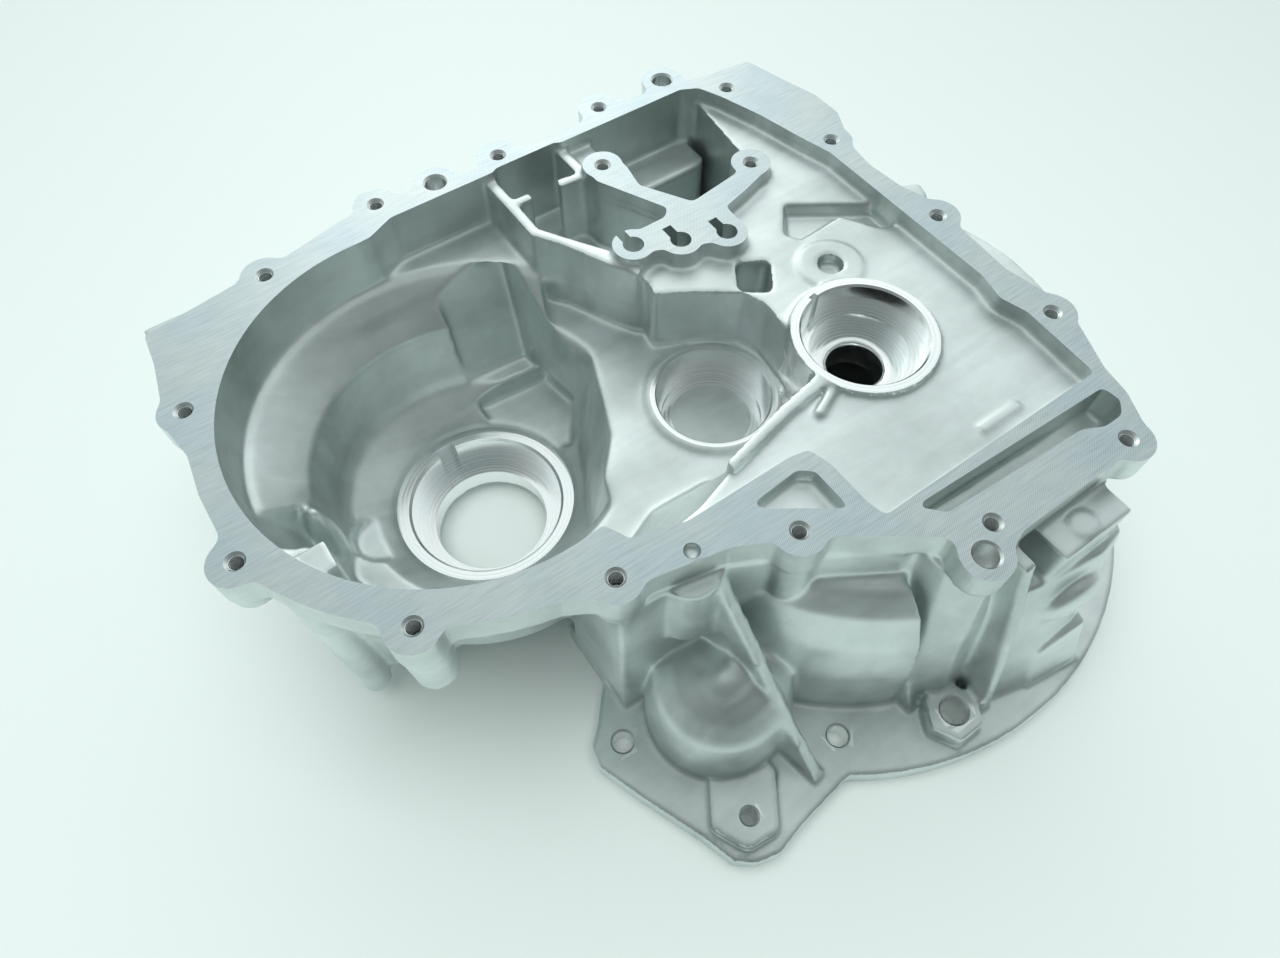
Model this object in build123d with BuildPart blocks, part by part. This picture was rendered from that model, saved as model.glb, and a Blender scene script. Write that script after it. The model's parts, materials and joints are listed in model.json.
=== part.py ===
"""Clutch-side housing of a transverse gearbox: one machined aluminium casting.

Millimetres. The origin is on the input-shaft bearing axis, in the face that bolts
to the engine. +Z points to the joint face, where the other half of the case goes.
"""
from build123d import *
import os
from math import cos, radians, sin

# Levels above the engine face; what is machined from the joint side follows JOINT_Z
JOINT_Z = 155.0            # machined joint face
CORNER_PAD_Z = JOINT_Z - 5.0    # lower pad at the back left corner
PLATE_Z = JOINT_Z - 9.0    # deck that carries the input bearing
DECK_T = 8.0               # thickness of that deck
PLATEAU_Z = JOINT_Z - 49.0      # lower deck round the middle bearing
FLOOR_Z = 60.0             # floor of the differential chamber at its wall
FLANGE_T = 14.0            # thickness of the engine flange
RIM_T = 17.0               # thickness of the joint flange
WALL = 6.0                 # cast wall
OVERCUT = 5.0              # how far a cutter runs past the face it opens
RIM_Z = JOINT_Z - RIM_T    # underside of the joint flange
SKY_Z = JOINT_Z + OVERCUT

# Bearing axes
INPUT_AT = (0.0, 0.0)
MIDDLE_AT = (-61.0, 36.0)
DIFF_AT = (-180.0, 86.0)

# Input bearing
INPUT_BORE_R = 31.0
INPUT_BORE_DEPTH = 14.0
INPUT_STEP_R = 25.0
INPUT_STEP_DEPTH = 10.0
INPUT_HOLE_R = 14.0
INPUT_BOSS_R = 36.5
INPUT_RIM_Z = PLATE_Z + 3.5
INPUT_BOSS_BOTTOM = PLATE_Z - 38.0

# Middle bearing
MIDDLE_BORE_R = 30.0
MIDDLE_BORE_DEPTH = 20.0
MIDDLE_RING_R = 36.0
MIDDLE_RING_H = 1.5
MIDDLE_CLEAR_R = 34.0

# Differential bearing and chamber
DIFF_RIM_Z = 42.0
DIFF_RIM_R = 50.0
DIFF_BORE_R = 42.5
DIFF_BORE_DEPTH = 20.0
DIFF_HOLE_R = 32.5
DIFF_BASE_Z = 9.0
GEAR_R = 104.5             # space of the final-drive wheel
LEDGE_Z = JOINT_Z - 32.0
LEDGE_R = 101.0
LEDGE_FOOT_Z = JOINT_Z - 54.0
LEDGE_FOOT_R = 79.0
FLOOR_R = 72.0

# Bell round the clutch
BELL_R = 142.0             # outside, at the engine flange
BELL_TOP_R = 108.0         # outside, under the joint flange
SHOULDER_Z = RIM_Z - 18.0  # where the bell's round shoulder meets the front wall
CLUTCH_R = 129.0           # inside, at the engine face
CLUTCH_TOP_R = 116.0       # inside, at the ceiling
CLUTCH_TOP_Z = PLATEAU_Z - 36.0
RING_R = 178.0             # engine flange
RING_HOLE_R = 5.5

# Fasteners of the joint
TAP_R = 3.5
TAP_DEPTH = 15.0
VALVE_TAP_DEPTH = 14.0
DOWEL_R = 5.5
DOWEL_DEPTH = 12.0
BOSS_R = 12.0

# Tapped holes and dowel holes in the joint face
TAPS = (
    (-14, 212), (-83, 209), (58, 184), (-156, 212), (-224, 197), (-286, 139),
    (-295, 54), (-249, -12), (-173, -40), (-99, -66), (-31, -109), (49, -114),
    (79, -45), (82, 35), (77, 113),
)
DOWELS = ((31, 212), (-122, 209), (-44, -118))
FRONT_STUBS = ((-295, 54), (-249, -12), (-173, -40))   # bosses that hang below the joint flange
STUB_Z = RIM_Z - 7.0
TAP_BOSS = (-99, -66)
BLIND_HOLE = (-141, -48)
BLIND_HOLE_R = 4.0
BLIND_HOLE_DEPTH = 3.0
BLIND_BOSS_R = 14.0

# Outside of the joint flange, without its bosses
RIM_OUTLINE = (
    (-290, 38), (-296, 66), (-296, 92), (-293, 114), (-296, 134), (-288, 172),
    (-286, 192), (-233, 200), (-213, 202), (-176, 211), (-142, 206), (-34, 206),
    (6, 208), (54, 200), (84, 197), (90, 171), (96, 149), (96, 129), (83, 104),
    (80, 85), (82, 62), (86, 50), (84, 12), (82, -12), (86, -34), (82, -60),
    (72, -82), (69, -97), (60, -115), (40, -119), (-30, -119), (-57, -99),
    (-92, -74), (-107, -66), (-127, -56), (-160, -49), (-178, -47), (-197, -36),
)
RIM_FRONT_MID = (-252, -10)   # on the arc round the front of the chamber
CORNER_PAD = ((-286, 190), (-286, 202), (-233, 202), (-233, 190))

# Inside of the joint face, right of the chamber
DECK_OUTLINE = (
    (-98, 198), (34, 198), (44, 193), (50, 179), (58, 153), (64, 125), (69, 105),
    (69, -9), (65, -24), (69, -38), (66, -81), (-65, -81), (-67, -72), (-67, -49),
    (-70, -38), (-80, -36), (-134, -36), (-160, -28), (-150, 60),
)
DIVIDER_Z = JOINT_Z - 5.0
DIVIDER = (
    (-98, 200), (-98, 150), (-88, 134), (-75, 106), (-68, 94), (-60, 100), (-72, 120),
    (-83, 137), (-92, 152), (-92, 200),
)
ISLAND = (
    (-70, 110), (-66, 104), (-39, 92), (-16, 82), (-6, 86),
    (-5, 104), (11, 108), (27, 113), (36, 118), (34, 130),
    (19, 122), (-17, 117), (-33, 144), (-30, 160), (-31, 176),
    (-48, 176), (-50, 160), (-31, 121), (-36, 116), (-66, 116),
)
PAD_R = 11.0
VALVE_TAPS = ((-40, 169), (28, 124))
KEYHOLES = ((-61, 109), (-39, 98), (-16, 89))
KEYHOLE_R = 5.5
KEYHOLE_SLOT = (5.5, 12.0)
KEYHOLE_DEPTH = 16.0
PLATEAU = (
    (-65, 92), (-67, 82), (-50, 72), (-29, 57), (-25, 44), (-28, 20), (-34, -4), (-61, -10), (-98, -20),
    (-98, -36), (-134, -36), (-158, -29), (-190, 30), (-150, 104), (-105, 104), (-104, 132),
    (-98, 146), (-88, 134), (-75, 106),
)
SLOPE_FOOT = ((-96, -4), (-96, -42), (-172, -42), (-160, -16), (-128, -2))   # rises from the lower deck
SLOPE_HEAD = ((-97, -22), (-97, -42), (-156, -42), (-150, -33), (-122, -30))
COMPARTMENT = (
    (-91, 200), (-91, 153), (-82, 138), (-70, 119), (-66, 118),
    (-38, 116), (-32, 121), (-50, 158), (-50, 200),
)
COMPARTMENT_Z = JOINT_Z - 45.0
VALVE_POCKET = (
    (-30, 160), (-30, 198), (34, 198), (43, 192), (36, 140), (19, 122), (-17, 117), (-33, 144),
)
VALVE_FLOOR_Z = JOINT_Z - 71.0
VALVE_STEP = ((-31, 176), (-31, 199), (38, 199), (38, 176), (30, 172), (-10, 172))
VALVE_STEP_Z = JOINT_Z - 35.0
STUB_WALLS = (((-93, 176), (-82, 176)), ((-65, 176), (-49, 174)), ((-49, 198), (-49, 170)))

# Ribs and marks on the deck
EDGE_RIB = ((-32, -5), (-61, -10), (-101, -20), (-101, -25), (-61, -16), (-31, -12))
EDGE_RIB_Z = PLATE_Z + 4.0
SMALL_RIB = ((-30, -14), (-50, -23))
SMALL_RIB_T = 4.0
SMALL_RIB_H = 3.0
KEY_PAD_R = 17.0
KEY_PAD_H = 1.5
KEY_AT = (19, 46)
KEY_R = 6.5
KEY_DEPTH = 5.0
BAR_AT = (18.5, -71)
BAR_SIZE = (26.0, 4.5)
BAR_H = 1.5
SQUARE_POCKET = ((-20, 76), (-4, 67), (-17, 49), (-31, 59))
SQUARE_POCKET_Z = PLATE_Z - 24.0
RAMP_HEAD = ((29, 96), (13, 77), (19, 68), (48, 70), (59, 52), (68, 46), (68, 70))
RAMP_FOOT = ((29, 92), (19, 79), (22, 73), (49, 74), (61, 56), (68, 51), (68, 66))
RAMP_FOOT_Z = PLATE_Z - 7.0

# Recess behind the wheel, and the wall between the chamber and the bell
CHAMBER_TOP = ((-182, 150), (-182, 190), (-169, 191), (-154, 198), (-98, 198), (-98, 150))
RECESS_FOOT = ((-151, 100), (-151, 154), (-112, 151), (-105, 104))
RECESS_HEAD = ((-148, 100), (-150, 177), (-107, 174), (-104, 104))
RECESS_FLOOR = ((-152, 120), (-152, 143), (-106, 139), (-102, 113), (-121, 86), (-140, 100))
RECESS_FLOOR_Z = 46.0
BELL_SIDE_HEAD_Z = PLATEAU_Z + 4.0
BELL_SIDE_HEAD = (
    (-103, 200), (-106, 170), (-105, 141), (-98, 97), (-110, 65), (-118, 46), (-135, 28), (-141, 12),
    (-142, -40), (0, -40), (0, 200),
)
BELL_SIDE_FOOT = (
    (-104, 200), (-106, 168), (-105, 139), (-102, 113), (-121, 86), (-131, 63), (-146, 33), (-152, 10),
    (-158, -40), (0, -40), (0, 200),
)

# Deep pocket where the ledge ends, with a pad and a round rib in it
SIDE_POCKET_Z = 56.0
SIDE_POCKET_HEAD = (
    (-286, 78), (-283, 93), (-266, 100), (-251, 116), (-225, 90), (-225, 20), (-262, 22), (-281, 50),
)
SIDE_POCKET_FOOT = (
    (-262, 76), (-258, 86), (-250, 94), (-240, 98), (-225, 80), (-225, 40), (-240, 40), (-256, 56),
)
PAD_AT = (-275, 57)
PAD_WALL_FROM = (-292, 72)
PAD_ROUND_R = 8.0
PAD_TOP_Z = JOINT_Z - 28.0
SPOT_FACE_AT = (-240, 92)
SPOT_FACE_R = 14.0
SPOT_FACE_Z = 52.0

# Oil trough along the front of the deck, and the pocket in the corner rib
TROUGH = (
    (-52, -85), (-43, -95), (14, -98), (36, -99), (46, -104), (57, -104), (63, -98), (62, -89),
)
TROUGH_Z = JOINT_Z - 18.0
CORNER_POCKET = ((-108, -45), (-81, -43), (-75, -48), (-75, -70), (-104, -50))
CORNER_POCKET_Z = PLATE_Z + 1.0

# Front wall: the bell's round shoulder, a dome, ribs and blocks
FRONT_WALL = (
    (-178, -50), (-178, 0), (-50, 0), (-50, -96), (-60, -96), (-98, -72), (-127, -57), (-158, -51),
)
SADDLE = ((-158, -2), (-125, 70), (-50, 70), (-50, -2))    # between the bell and the chamber
SADDLE_Z = 30.0
SHOULDER_SECTOR = ((-50, -50), (-150, -62), (-150, -170), (-62, -170), (-58, -96))
BULGE_AT = (-138.0, -77.0)
BULGE_R = 38.0
BULGE_Z = 76.0
RIB_T = 7.0
OBLIQUE_RIB = ((-134, -50), (-117, -139))
LEFT_RIB = ((-53, -80), (-53, -140))
RIGHT_RIB = ((-22, -100), (-22, -164))
COLUMN_FOOT = ((-55, -90), (-55, -134), (-40, -143), (-24, -146), (-16, -90))
COLUMN_HEAD = ((-54, -88), (-54, -110), (-44, -127), (-30, -122), (-16, -88))
RIGHT_HEAD = ((-16, -90), (-20, -134), (0, -139), (30, -142), (45, -139), (58, -110), (66, -85))
RIGHT_FOOT = ((-16, -90), (-20, -160), (4, -166), (29, -163), (51, -158), (69, -148), (90, -100))
RIGHT_TOP_Z = RIM_Z - 25.0
EJECTOR_BLOCK = ((-6, -112), (38, -112), (37, -137), (-6, -137))
EJECTOR_BLOCK_H = 25.0
LEG_FOOT = ((-278, 64), (-274, 88), (-252, 102), (-225, 98), (-225, 24), (-252, 24), (-268, 36))
LEG_HEAD = ((-293, 70), (-290, 98), (-266, 108), (-225, 104), (-225, 10), (-262, 8), (-284, 40))
LEG_Z = 28.0
LUGS = (
    ((84, 186), (97, 178), (105, 157), (105, 137), (97, 123), (84, 112)),
    ((82, 70), (91, 68), (100, 64), (97, 54), (84, 50)),
)
LUG_Z = JOINT_Z - 7.0

# Back of the case and the side wall right of the deck
BACK_BLOCK = (
    (-160, 100), (-160, 180), (-104, 180), (-104, 204), (48, 204), (80, 190), (88, 130), (76, 40), (0, 40),
)
BACK_Z = 38.0
CHAMBER_TOP_WALL = ((-200, 150), (-196, 204), (-98, 204), (-98, 150))
SIDE_BLOCK = (
    (-60, -60), (-56, -96), (-36, -110), (40, -112), (60, -108), (72, -70), (80, -20), (80, 60), (60, 100),
    (20, 80),
)
SIDE_Z = RIM_Z - 68.0

# Engine flange where it leaves the round ring, front left
FLANGE_LOBE = (
    (-110, 20), (-170, -20), (-196, -50), (-204, -57), (-206, -68), (-197, -92),
    (-183, -125), (-177, -143), (-168, -150), (-156, -153), (-138, -149), (-98, -144),
    (-76, -155), (-55, -168), (-30, -172), (0, -120),
)
FLANGE_HOLES = ((-189, -64), (-95, -126))
FLANGE_TAP = (-159, -131)
FLANGE_TAP_R = 4.2
FLANGE_PAD = ((-166, -107), (-161, -100), (-131, -117), (-151, -145), (-169, -143), (-178, -125))
FLANGE_PAD_Z = 20.0
BIG_HOLE_AT = (-41, -152)
BIG_HOLE_R = 7.0
BIG_BOSS_R = 16.0
BIG_BOSS_Z = 26.0
RING_BOLT_R = 167.0
RING_BOLT_ANGLES = (-30, 2, 34, 66, 98)

# Hollow under the deck
UNDER_DECK = ((-20, -72), (58, -72), (58, 56), (-12, 44), (-30, 0), (-60, -28), (-60, -60))


def outline_block(points, low, high, corner=0.0, toe=0.0):
    """Upright block over a closed outline, with its lower edges rounded by toe."""
    with BuildPart() as block:
        with BuildSketch(Plane.XY.offset(low)) as plan:
            Polygon(*points, align=None)
            if corner > 0:
                fillet(plan.vertices(), corner)
        extrude(amount=high - low)
        if toe > 0:
            fillet(block.faces().sort_by(Axis.Z)[0].edges(), toe)
    return block.part


def two_level_block(foot, low, head, high):
    """Block between two outlines with as many corners each."""
    with BuildPart() as block:
        with BuildSketch(Plane.XY.offset(low)):
            Polygon(*foot, align=None)
        with BuildSketch(Plane.XY.offset(high)):
            Polygon(*head, align=None)
        loft(ruled=True)
    return block.part


def turned(profile, at):
    """Solid of revolution about an upright axis, from (radius, height) points."""
    with BuildPart() as body:
        with BuildSketch(Plane.XZ):
            Polygon(*profile, align=None)
        revolve(axis=Axis.Z)
    return body.part.moved(Location((at[0], at[1], 0)))


def cylinder(at, radius, low, high):
    """Upright cylinder between two heights."""
    with BuildPart() as body:
        with BuildSketch(Plane.XY.offset(low)):
            with Locations(at):
                Circle(radius)
        extrude(amount=high - low)
    return body.part


def fin(start, end, thickness, profile):
    """Upright fin from start to end; profile is (distance from start, height) points."""
    run = Vector(end[0] - start[0], end[1] - start[1], 0)
    plane = Plane(origin=(start[0], start[1], 0), x_dir=run, z_dir=run.cross(Vector(0, 0, 1)))
    with BuildPart() as web:
        with BuildSketch(plane):
            Polygon(*profile, align=None)
        extrude(amount=thickness / 2, both=True)
    return web.part


def wall_fin(ends, thickness, steps):
    """Fin whose outer edge runs through (distance, height) steps, down to the engine face."""
    reach = steps[0][0]
    return fin(*ends, thickness, ((0, 0), (reach, 0), *steps, (0, steps[-1][1])))


def at_height(places, height):
    """Locations over plan points, all at one height."""
    return [Location((x, y, height)) for x, y in places]


# Joint flange with its bosses
with BuildPart() as joint_flange:
    with BuildSketch(Plane.XY.offset(JOINT_Z)):
        with BuildLine():
            Polyline(*RIM_OUTLINE)
            ThreePointArc(RIM_OUTLINE[-1], RIM_FRONT_MID, RIM_OUTLINE[0])
        make_face()
        with Locations(*TAPS, *DOWELS):
            Circle(BOSS_R)
        offset(amount=BOSS_R / 2, kind=Kind.ARC, mode=Mode.REPLACE)
        offset(amount=-BOSS_R / 2, kind=Kind.ARC, mode=Mode.REPLACE)
    extrude(amount=-RIM_T)

# Chamber of the differential, seen from outside
chamber = turned(
    (
        (0, DIFF_BASE_Z), (DIFF_RIM_R, DIFF_BASE_Z), (DIFF_RIM_R, BACK_Z - 4), (LEDGE_FOOT_R + WALL, BACK_Z),
        (LEDGE_FOOT_R + WALL, LEDGE_FOOT_Z - WALL), (LEDGE_R + WALL, LEDGE_Z - WALL - 3),
        (LEDGE_R + WALL, RIM_Z), (0, RIM_Z),
    ),
    DIFF_AT,
)
# Bell, front wall and the forms on it
bell = turned(
    ((0, 0), (BELL_R, 0), (BELL_R, FLANGE_T), (BELL_TOP_R, RIM_Z), (0, RIM_Z)), INPUT_AT
)
round_bell = turned(
    (
        (0, 0), (BELL_R, 0), (BELL_R, 0.47 * SHOULDER_Z), (BELL_R - 4, 0.7 * SHOULDER_Z),
        (BELL_R - 11, 0.88 * SHOULDER_Z), (BELL_R - 20, 0.97 * SHOULDER_Z), (BELL_R - 32, SHOULDER_Z),
        (0, SHOULDER_Z),
    ),
    INPUT_AT,
)
with BuildPart() as shoulder:
    add(outline_block(SHOULDER_SECTOR, 0, SHOULDER_Z))
    add(round_bell, mode=Mode.INTERSECT)
bulge = turned(
    (
        (0, 0), (BULGE_R, 0), (BULGE_R, BULGE_Z - BULGE_R), (BULGE_R * 0.9, BULGE_Z - BULGE_R * 0.5),
        (BULGE_R * 0.62, BULGE_Z - BULGE_R * 0.18), (BULGE_R * 0.25, BULGE_Z), (0, BULGE_Z),
    ),
    BULGE_AT,
)
oblique_rib = wall_fin(OBLIQUE_RIB, RIB_T, ((88, FLANGE_T + 2), (8, RIM_Z)))
left_rib = wall_fin(LEFT_RIB, RIB_T, ((58, FLANGE_T + 2), (40, 60), (22, 100), (15, RIM_Z)))
right_rib = wall_fin(RIGHT_RIB, RIB_T, ((60, FLANGE_T + 6), (52, 60), (42, 100), (31, RIM_Z)))

# Engine flange
with BuildPart() as engine_flange:
    with BuildSketch():
        Circle(RING_R)
        with Locations(DIFF_AT):
            Circle(LEDGE_FOOT_R, mode=Mode.SUBTRACT)
        Polygon(*FLANGE_LOBE, align=None)
    extrude(amount=FLANGE_T)

# What is cut out of the chamber: below the wheel, behind it and round it
wheel_space = turned(
    (
        (0, DIFF_RIM_Z), (DIFF_RIM_R, DIFF_RIM_Z), (DIFF_RIM_R + 1, DIFF_RIM_Z + 4), (FLOOR_R, FLOOR_Z),
        (FLOOR_R + 4, FLOOR_Z + 6), (LEDGE_FOOT_R, LEDGE_FOOT_Z), (LEDGE_R, LEDGE_Z), (0, LEDGE_Z),
    ),
    DIFF_AT,
)
bell_side = two_level_block(BELL_SIDE_FOOT, DIFF_RIM_Z - 4, BELL_SIDE_HEAD, BELL_SIDE_HEAD_Z)
with BuildPart() as chamber_space:
    add(wheel_space)
    add(bell_side, mode=Mode.SUBTRACT)
    add(two_level_block(RECESS_FOOT, FLOOR_Z, RECESS_HEAD, LEDGE_Z + 1))
    add(outline_block(RECESS_FLOOR, RECESS_FLOOR_Z, FLOOR_Z + 1))
    add(two_level_block(SIDE_POCKET_FOOT, SIDE_POCKET_Z, SIDE_POCKET_HEAD, LEDGE_Z + 1))
    add(cylinder(SPOT_FACE_AT, SPOT_FACE_R, SPOT_FACE_Z, SIDE_POCKET_Z + 8))
    add(cylinder(DIFF_AT, GEAR_R, LEDGE_Z, SKY_Z))
    add(outline_block(CHAMBER_TOP, LEDGE_Z + 2, SKY_Z))

# What is cut out of the clutch side
with BuildPart() as clutch_space:
    add(
        turned(
            (
                (0, -OVERCUT), (CLUTCH_R, -OVERCUT), (CLUTCH_R, FLANGE_T), (CLUTCH_TOP_R, CLUTCH_TOP_Z),
                (0, CLUTCH_TOP_Z),
            ),
            INPUT_AT,
        )
    )
    add(cylinder(DIFF_AT, LEDGE_FOOT_R + 2 * WALL, -OVERCUT, CLUTCH_TOP_Z), mode=Mode.SUBTRACT)
with BuildPart() as under_deck:
    add(outline_block(UNDER_DECK, CLUTCH_TOP_Z - 1, PLATE_Z - DECK_T))
    add(cylinder(INPUT_AT, INPUT_BOSS_R + 4, INPUT_BOSS_BOTTOM, PLATE_Z), mode=Mode.SUBTRACT)

# Walls and pads that stand in the open space
with BuildPart() as island:
    with BuildSketch(Plane.XY.offset(PLATEAU_Z)):
        Polygon(*ISLAND, align=None)
        with Locations(*VALVE_TAPS, *KEYHOLES):
            Circle(PAD_R)
    extrude(amount=JOINT_Z - PLATEAU_Z)

with BuildPart() as big_boss:
    with BuildSketch():
        with Locations(BIG_HOLE_AT):
            RegularPolygon(BIG_BOSS_R, side_count=6)
    extrude(amount=BIG_BOSS_Z)

with BuildPart() as housing:
    # Outside
    add(joint_flange.part)
    add(chamber)
    add(two_level_block(LEG_FOOT, LEG_Z, LEG_HEAD, RIM_Z))
    add(bell)
    add(shoulder.part)
    add(bulge)
    add(outline_block(FRONT_WALL, 0, RIM_Z))
    add(outline_block(SADDLE, SADDLE_Z, RIM_Z))
    add(two_level_block(COLUMN_FOOT, 0, COLUMN_HEAD, RIM_Z))
    add(two_level_block(RIGHT_FOOT, 0, RIGHT_HEAD, RIGHT_TOP_Z))
    add(outline_block(BACK_BLOCK, BACK_Z, RIM_Z))
    add(outline_block(SIDE_BLOCK, SIDE_Z, RIM_Z))
    add(outline_block(CHAMBER_TOP_WALL, LEDGE_Z - WALL, RIM_Z))
    add(engine_flange.part)
    add(oblique_rib)
    add(left_rib)
    add(right_rib)
    add(outline_block(EJECTOR_BLOCK, RIM_Z - EJECTOR_BLOCK_H, RIM_Z - 1))
    add(outline_block(CORNER_PAD, RIM_Z, CORNER_PAD_Z))
    for lug in LUGS:
        add(outline_block(lug, RIM_Z - RIM_T, LUG_Z))
    add(outline_block(FLANGE_PAD, 0, FLANGE_PAD_Z, corner=6))
    add(big_boss.part)
    for place in FRONT_STUBS:
        add(cylinder(place, BOSS_R - 1, STUB_Z, RIM_Z))
    add(cylinder(TAP_BOSS, BOSS_R - 1, SHOULDER_Z - 10, RIM_Z))
    add(cylinder(BLIND_HOLE, BLIND_BOSS_R, BULGE_Z + 10, RIM_Z))

    # Deck, lower deck and the slope between them
    with BuildSketch(Plane.XY.offset(PLATE_Z)):
        Polygon(*DECK_OUTLINE, align=None)
    extrude(amount=SKY_Z - PLATE_Z, mode=Mode.SUBTRACT)
    add(outline_block(PLATEAU, PLATEAU_Z, SKY_Z), mode=Mode.SUBTRACT)
    add(two_level_block(SLOPE_FOOT, PLATEAU_Z, SLOPE_HEAD, PLATE_Z))
    add(outline_block(COMPARTMENT, COMPARTMENT_Z, SKY_Z), mode=Mode.SUBTRACT)
    add(chamber_space.part, mode=Mode.SUBTRACT)
    add(outline_block(VALVE_POCKET, VALVE_FLOOR_Z, SKY_Z), mode=Mode.SUBTRACT)

    # Walls, pads and ribs inside
    add(outline_block(DIVIDER, PLATEAU_Z, DIVIDER_Z))
    add(island.part)
    add(outline_block(VALVE_STEP, VALVE_FLOOR_Z, VALVE_STEP_Z, corner=3))
    for start, end in STUB_WALLS:
        length = abs(Vector(*start) - Vector(*end))
        side = ((0, COMPARTMENT_Z), (length, COMPARTMENT_Z), (length, DIVIDER_Z), (0, DIVIDER_Z))
        add(fin(start, end, WALL, side))
    add(outline_block(EDGE_RIB, PLATEAU_Z, EDGE_RIB_Z))
    length = abs(Vector(*SMALL_RIB[0]) - Vector(*SMALL_RIB[1]))
    low = PLATE_Z - 1
    high = PLATE_Z + SMALL_RIB_H
    add(fin(*SMALL_RIB, SMALL_RIB_T, ((0, low), (length, low), (length, high), (0, high))))
    add(cylinder(KEY_AT, KEY_PAD_R, PLATE_Z - 1, PLATE_Z + KEY_PAD_H))
    add(cylinder(INPUT_AT, INPUT_BOSS_R, PLATE_Z - DECK_T, INPUT_RIM_Z))
    add(cylinder(MIDDLE_AT, MIDDLE_RING_R, PLATEAU_Z - 1, PLATEAU_Z + MIDDLE_RING_H))
    add(cylinder(PAD_AT, PAD_ROUND_R, SIDE_POCKET_Z, PAD_TOP_Z))
    reach = abs(Vector(*PAD_WALL_FROM) - Vector(*PAD_AT))
    add(
        fin(
            PAD_WALL_FROM, PAD_AT, 2 * WALL,
            ((0, LEDGE_FOOT_Z), (reach, LEDGE_FOOT_Z), (reach, PAD_TOP_Z), (0, PAD_TOP_Z)),
        )
    )
    with BuildSketch(Plane.XY.offset(PLATE_Z - 1)):
        with Locations(BAR_AT):
            SlotOverall(*BAR_SIZE)
    extrude(amount=BAR_H + 1)

    # Pockets
    add(cylinder(MIDDLE_AT, MIDDLE_CLEAR_R, PLATEAU_Z + MIDDLE_RING_H, SKY_Z), mode=Mode.SUBTRACT)
    add(outline_block(TROUGH, TROUGH_Z, SKY_Z), mode=Mode.SUBTRACT)
    add(outline_block(CORNER_POCKET, CORNER_POCKET_Z, SKY_Z), mode=Mode.SUBTRACT)
    add(outline_block(SQUARE_POCKET, SQUARE_POCKET_Z, PLATE_Z, corner=4), mode=Mode.SUBTRACT)
    add(two_level_block(RAMP_FOOT, RAMP_FOOT_Z, RAMP_HEAD, PLATE_Z + 1), mode=Mode.SUBTRACT)
    add(cylinder(KEY_AT, KEY_R, PLATE_Z - KEY_DEPTH, SKY_Z), mode=Mode.SUBTRACT)
    with BuildSketch(Plane.XY.offset(JOINT_Z - KEYHOLE_DEPTH)):
        with Locations(*KEYHOLES):
            Circle(KEYHOLE_R)
            with Locations((-1, KEYHOLE_R)):
                Rectangle(*KEYHOLE_SLOT)
    extrude(amount=KEYHOLE_DEPTH + OVERCUT, mode=Mode.SUBTRACT)

    # Clutch side
    add(clutch_space.part, mode=Mode.SUBTRACT)
    add(under_deck.part, mode=Mode.SUBTRACT)

    # Bearing seats
    with Locations((*INPUT_AT, INPUT_RIM_Z)):
        Hole(INPUT_HOLE_R)
        Hole(INPUT_STEP_R, depth=INPUT_BORE_DEPTH + INPUT_STEP_DEPTH)
        Hole(INPUT_BORE_R, depth=INPUT_BORE_DEPTH)
    with Locations((*MIDDLE_AT, PLATEAU_Z + MIDDLE_RING_H)):
        Hole(MIDDLE_BORE_R, depth=MIDDLE_BORE_DEPTH)
    with Locations((*DIFF_AT, DIFF_RIM_Z)):
        Hole(DIFF_HOLE_R)
        Hole(DIFF_BORE_R, depth=DIFF_BORE_DEPTH)

    # Fasteners
    with Locations(*at_height(TAPS, JOINT_Z)):
        Hole(TAP_R, depth=TAP_DEPTH)
    with Locations(*at_height(VALVE_TAPS, JOINT_Z)):
        Hole(TAP_R, depth=VALVE_TAP_DEPTH)
    with Locations(*at_height(DOWELS, JOINT_Z)):
        Hole(DOWEL_R, depth=DOWEL_DEPTH)
    with Locations((*BLIND_HOLE, JOINT_Z)):
        Hole(BLIND_HOLE_R, depth=BLIND_HOLE_DEPTH)
    ring_bolts = [
        (RING_BOLT_R * cos(radians(a)), RING_BOLT_R * sin(radians(a))) for a in RING_BOLT_ANGLES
    ]
    with Locations(*at_height(FLANGE_HOLES + tuple(ring_bolts), FLANGE_T)):
        Hole(RING_HOLE_R, depth=FLANGE_T)
    with Locations((*BIG_HOLE_AT, BIG_BOSS_Z)):
        Hole(BIG_HOLE_R, depth=BIG_BOSS_Z)
    with Locations((*FLANGE_TAP, FLANGE_PAD_Z)):
        Hole(FLANGE_TAP_R, depth=FLANGE_PAD_Z)

housing.part.label = "housing"
os.makedirs("parts", exist_ok=True)
export_step(housing.part, "parts/housing.step")
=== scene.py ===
"""A bare aluminium gearbox housing on a pale table.

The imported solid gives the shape, and its record the places of the holes and seats. Here
it is turned into what a foundry and a machine shop would hand over: the raw casting gets
its rounded edges and fillets first, and the milled faces, turned seats and drilled holes
are cut into it afterwards.
"""
import json
import logging
import math
from dataclasses import dataclass, field
from enum import Enum

import bmesh
import bpy
import numpy as np
from mathutils import Matrix, Vector


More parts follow.
